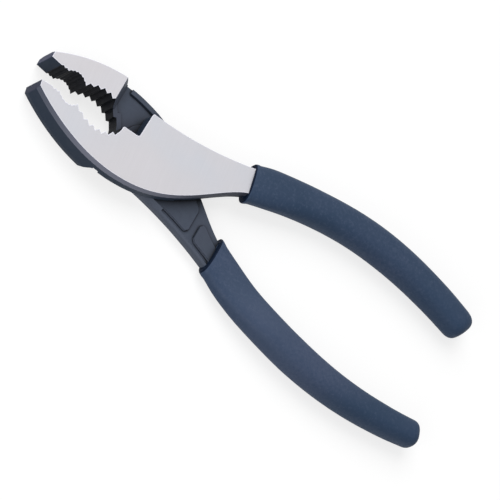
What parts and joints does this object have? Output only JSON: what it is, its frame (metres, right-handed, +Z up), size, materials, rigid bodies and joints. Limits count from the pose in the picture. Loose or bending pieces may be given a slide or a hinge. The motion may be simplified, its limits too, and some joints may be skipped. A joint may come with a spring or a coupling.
{
  "type": "slip joint pliers",
  "caption": "Slip joint pliers with toothed jaws, a pipe grip hollow, a slip slot with a flatted pivot bolt and dipped vinyl grips.",
  "frame": {"origin": "where the pivot axis meets the polished front face", "axes": "+X from the pivot to the handle ends, +Z up through the polished front face, +Y to the side of the front lever's handle"},
  "size_m": [0.203, 0.0788, 0.012],
  "materials": {
    "polished_steel": "ground and polished faces, black oxide on the sides and in the relief",
    "black_steel": "black oxide",
    "spring_steel": "bright",
    "vinyl": "dipped, finely textured, dull"
  },
  "bodies": {
    "front_half": {"front_lever": "polished_steel", "pivot_bolt": "black_steel", "front_grip": "vinyl"},
    "washer": {"thrust_washer": "spring_steel"},
    "back_half": {"back_lever": "polished_steel", "back_grip": "vinyl"}
  },
  "joints": [
    {"name": "pivot", "type": "hinge", "parent": "front_half", "child": "washer", "pos_m": [0, 0, 0], "axis": [0, 0, -1], "range_deg": [-12, 78]},
    {"name": "slip", "type": "slide", "parent": "washer", "child": "back_half", "axis": [0.1045, 0.9945, 0], "range_m": [0, 0.0055]}
  ]
}
